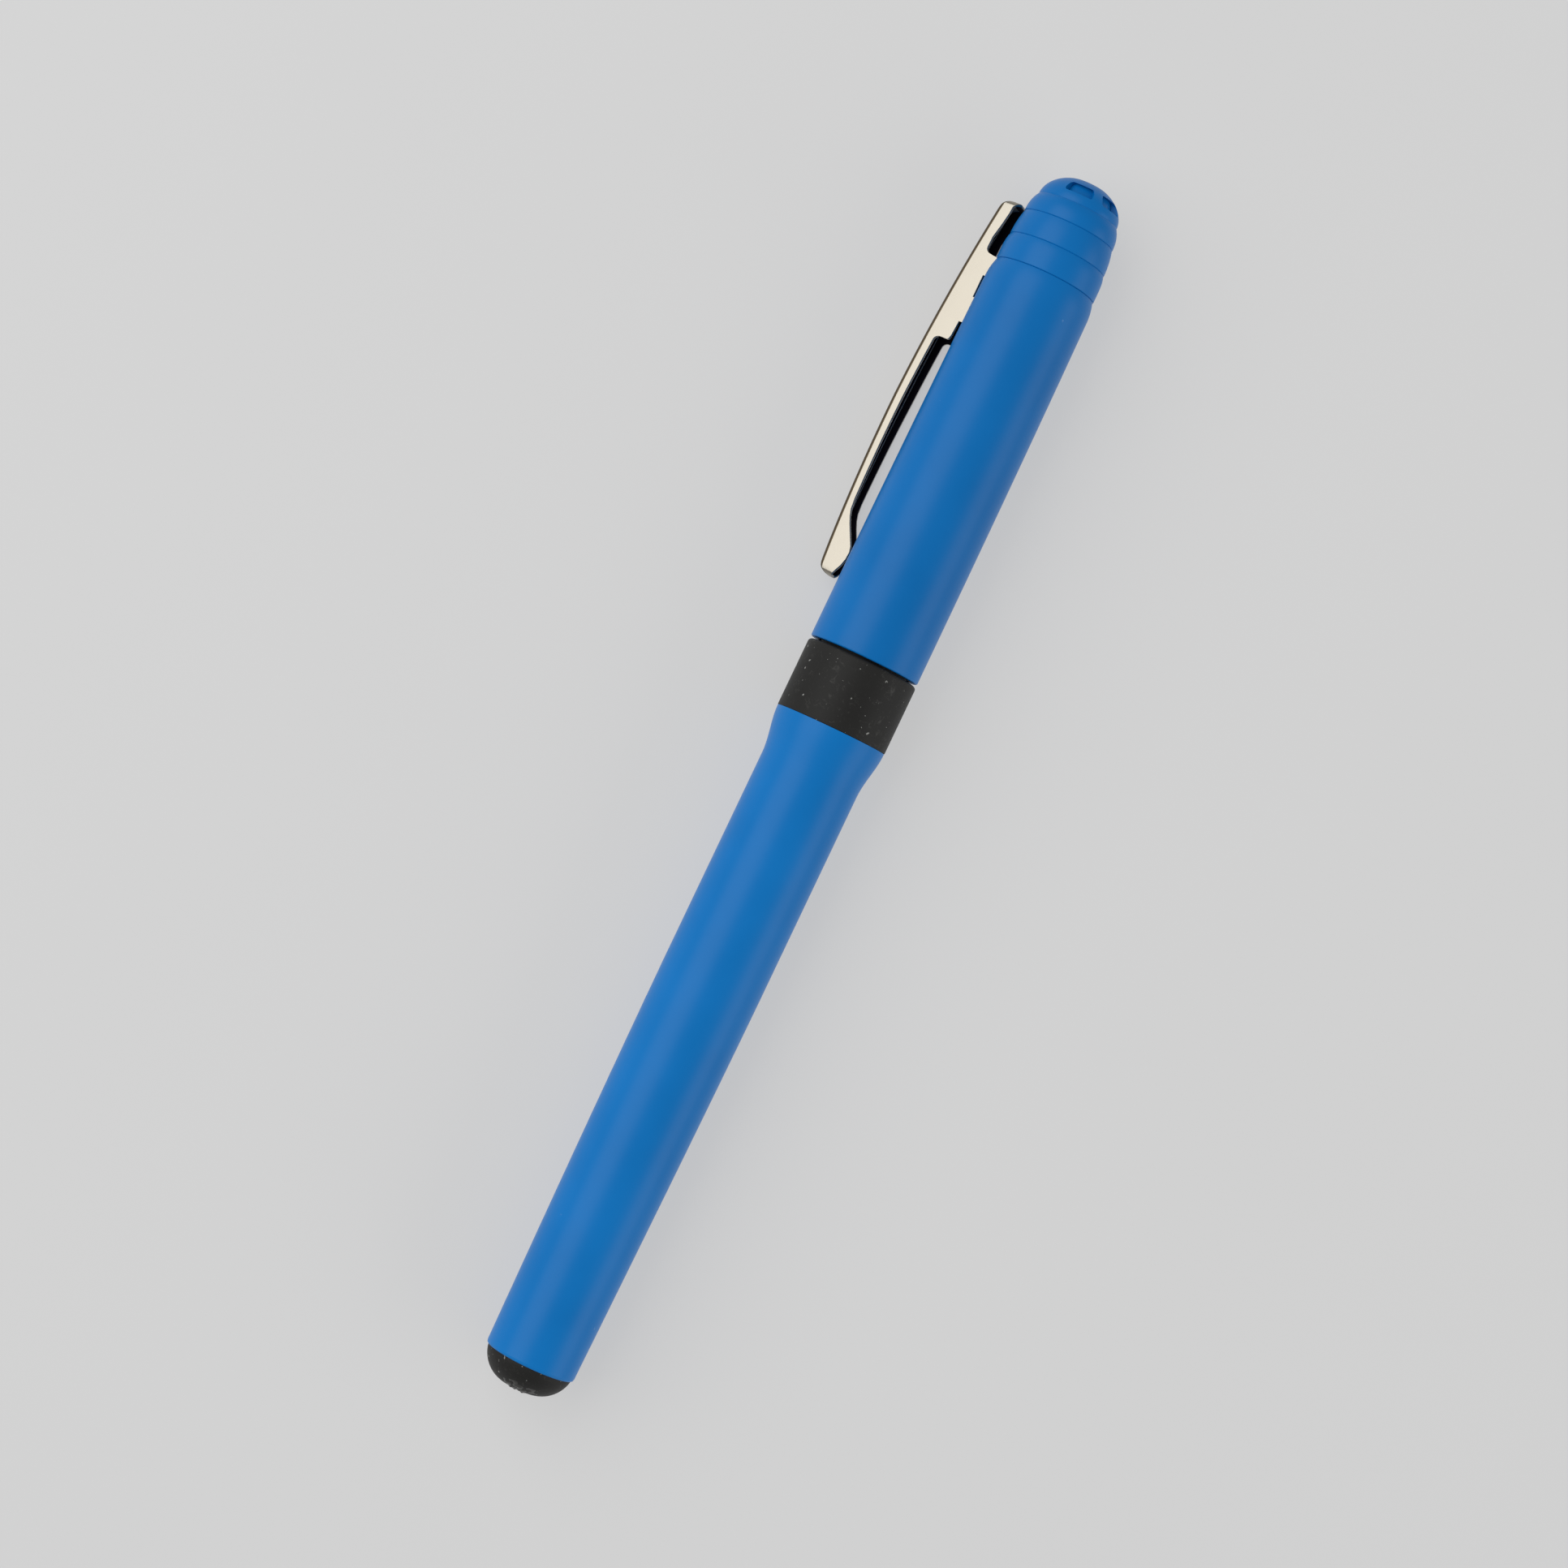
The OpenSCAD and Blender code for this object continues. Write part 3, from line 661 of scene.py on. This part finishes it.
def cap_outline():
    """The cap's section: the outside from the mouth up, then the cavity down.

    Each crown ring stands over a fine groove."""
    top = PEN_LENGTH
    groove = 0.05
    line = [(CAP_BORE_R + 0.22, CAP_MOUTH), (MOUTH_R - 0.2, CAP_MOUTH)]
    line += arc((MOUTH_R - 0.2, CAP_MOUTH + 0.2), 0.2, -80, -10, 5)
    line += bowed(MOUTH_R, CAP_MOUTH + 0.25, CROWN_R, top - CROWN_DEPTH, 2.3, 24)[:-1]
    ends = [ring[0] for ring in CROWN_RINGS[1:]] + [DOME_RISE]
    for (below, low_r, high_r, power), end in zip(CROWN_RINGS, ends):
        side = bowed(low_r, top - below, high_r, top - end - groove, power, 14)
        if below < CROWN_DEPTH:
            side = [(low_r - 0.06, top - below + 0.02), (low_r - 0.015, top - below + 0.07)] + side[1:]
        line += side + [(high_r - 0.06, top - end)]
    flat = math.degrees(math.acos(TOP_FLAT_R / DOME_R))
    rise = DOME_RISE / math.sin(math.radians(flat))
    for degrees in cut_lengths(3, flat - 4, 3):
        a = math.radians(degrees)
        line.append((DOME_R * math.cos(a), top - DOME_RISE + rise * math.sin(a)))
    line += [(TOP_FLAT_R + 0.05, top - 0.03), (TOP_FLAT_R - 0.2, top), (0, top)]
    line += [(0, top - CAP_ROOF), (2.88, top - CAP_ROOF)]
    cavity = ((3.48, 2.12), (3.88, 4.2), (4.3, 5.4), (4.55, 8.3), (4.65, 10.8), (CAP_BORE_R, 12))
    line += [(radius, top - below) for radius, below in cavity]
    bead = CAP_MOUTH + 3.2
    line += [(CAP_BORE_R, bead + 0.5), (SNAP_R, bead + 0.3), (SNAP_R, bead - 0.3), (CAP_BORE_R, bead - 0.5)]
    return line + [(CAP_BORE_R, CAP_MOUTH + 0.3)]


def vent_cutter(middle):
    """A vent window with rounded corners, whose middle is at that angle from the clip, in degrees."""
    half_angle = 22
    low, high = PEN_LENGTH - 1.95, PEN_LENGTH - 0.8
    corner_z = 0.32
    corner_angle = 4.4
    loop = []
    for sign_a, sign_z, start in ((1, 1, 0), (-1, 1, 90), (-1, -1, 180), (1, -1, 270)):
        for degrees in cut_lengths(start + 5, start + 85, 20):
            turn = math.radians(degrees)
            angle = middle + sign_a * (half_angle - corner_angle) + corner_angle * math.cos(turn)
            height = (high if sign_z > 0 else low) - sign_z * corner_z + corner_z * math.sin(turn)
            loop.append((math.radians(angle), height))
    rings = [[(r * math.cos(a), r * math.sin(a), z) for a, z in loop] for r in (2.6, 6)]
    return prism("vent_cutter", *rings)


def slot_cutter(side, low, high):
    """A slot in the cap for one of the clip's prongs."""
    play = 0.06
    near = side * CLIP_HALF + (play if side > 0 else -play)
    far = side * (CLIP_HALF - SHEET - play)
    base = [(PRONG_TIP - 0.3, near), (6.5, near), (6.5, far), (PRONG_TIP - 0.3, far)]
    loops = [[(x, y, z) for x, y in base] for z in (low - play, high + play)]
    return prism("slot_cutter", *loops)


cap = lathe("cap_body", cap_outline(), [CAP_BLUE_PAINTED_SHADE], steps=168, smooth_angle=28)
cutters = [vent_cutter(VENT_FIRST + VENT_PITCH * i) for i in range(VENT_COUNT)]
for prong_low, prong_high in PRONGS:
    for prong_side in (-1, 1):
        cutters.append(slot_cutter(prong_side, PEN_LENGTH - prong_low, PEN_LENGTH - prong_high))
carve(cap, cutters, smooth_angle=28)
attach(cap, "cap")
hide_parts("cap_shell")

# ---------------------------------------------------------------- tail plug

PLUG_HEIGHT = pen_box("barrel")[0].z
PLUG_RIM_R = 4.7
GATE_R = 0.9


def plug_height(radius):
    """How high above the pen's end the plug's dome is at that radius."""
    share = (radius - GATE_R) / (PLUG_RIM_R - GATE_R)
    return PLUG_HEIGHT * (1 - (1 - share**2.4) ** (1 / 1.6))


def gate_scar():
    """The torn stub of the moulding gate on the plug: a low crinkled patch whose rim sinks into the dome."""
    middle, spread = math.radians(112), math.radians(38)
    inner, outer = 1.3, 3.9
    rows, columns = 20, 44
    points = []
    for i in range(rows + 1):
        radius = inner + (outer - inner) * i / rows
        for j in range(columns + 1):
            u = 2 * j / columns - 1
            v = 2 * i / rows - 1
            swell = (1 - u**2) * (1 - v**2)
            crinkle = math.sin(7 * u + 4 * v) + 0.7 * math.sin(13 * v - 6 * u + 1) + 0.5 * math.sin(21 * u)
            lift = swell * (0.07 + 0.075 * crinkle) - 0.03
            angle = middle + spread * u
            points.append((radius * math.cos(angle), radius * math.sin(angle), plug_height(radius) - lift))
    faces = []
    for i in range(rows):
        for j in range(columns):
            a = i * (columns + 1) + j
            faces.append(((a, a + 1, a + columns + 2, a + columns + 1), 0))
    return new_piece("gate_scar", points, faces, [GATE_BLACK], smooth_angle=60)


scar = gate_scar()
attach(scar, "pen")

# ---------------------------------------------------------------- floor, light and camera


def floor():
    """A pale surface under the pen that gives off a little light, so that shadows stay faint."""
    size = 1.5
    glow = 0.46
    mesh = bpy.data.meshes.new("floor")
    corners = [(-size, -size, 0), (size, -size, 0), (size, size, 0), (-size, size, 0)]
    mesh.from_pydata(corners, [], [(0, 1, 2, 3)])
    ground = bpy.data.objects.new("floor", mesh)
    bpy.context.scene.collection.objects.link(ground)
    n = Nodes("pale_floor", roughness=0.9, specular_ior_level=0.1)
    n.shader.inputs["Emission Color"].default_value = (1, 1, 1, 1)
    n.shader.inputs["Emission Strength"].default_value = glow
    tone = n.colours(n.noise(40, detail=2), (0.22, 0.22, 0.22), (0.228, 0.228, 0.228))
    mesh.materials.append(n.finish(colour=tone))


def softbox(name, direction, distance, size, power):
    """An area light that faces the pen from the given direction."""
    data = bpy.data.lights.new(name, "AREA")
    data.shape = "RECTANGLE"
    data.size, data.size_y = size
    data.energy = power
    lamp = bpy.data.objects.new(name, data)
    lamp.location = AXIS + direction.normalized() * distance
    lamp.rotation_mode = "QUATERNION"
    lamp.rotation_quaternion = direction.to_track_quat("Z", "Y")
    bpy.context.scene.collection.objects.link(lamp)


def surroundings(level):
    """Even white light from all round, and colours shown without a film look."""
    world = bpy.data.worlds.new("studio")
    world.use_nodes = True
    world.node_tree.nodes["Background"].inputs["Color"].default_value = (1, 1, 1, 1)
    world.node_tree.nodes["Background"].inputs["Strength"].default_value = level
    bpy.context.scene.world = world
    bpy.context.scene.view_settings.view_transform = "Standard"


def camera():
    """Looks down on the pen from a little to the clip's side, with the crown up and to the right."""
    elevation = math.radians(80.2)
    lean = math.radians(25.47)
    distance = 0.4
    frame_width = 0.1626
    above = TAIL + 0.0605
    aim_along = TAIL + 0.0682
    aim_aside = 0.00196
    view = Vector((0, math.cos(elevation), math.sin(elevation)))
    aside = ALONG.cross(view)
    data = bpy.data.cameras.new("camera")
    data.sensor_width = 36
    data.lens = data.sensor_width * distance / frame_width
    data.clip_start, data.clip_end = 0.01, 10
    cam = bpy.data.objects.new("camera", data)
    cam.location = Vector((above, AXIS.y, AXIS.z)) + view * distance
    back = (cam.location - Vector((aim_along, AXIS.y, AXIS.z)) + aside * aim_aside).normalized()
    up = ALONG * math.cos(lean) - aside * math.sin(lean)
    up = (up - back * up.dot(back)).normalized()
    right = up.cross(back)
    cam.rotation_mode = "QUATERNION"
    cam.rotation_quaternion = Matrix((right, up, back)).transposed().to_quaternion()
    bpy.context.scene.collection.objects.link(cam)
    bpy.context.scene.camera = cam


floor()
softbox("key", Vector((0.1, 0.72, 0.7)), 0.55, (0.8, 0.5), 2.4)
softbox("fill", Vector((-0.1, -0.9, 0.4)), 0.7, (0.8, 0.4), 1.7)
surroundings(0.33)
camera()
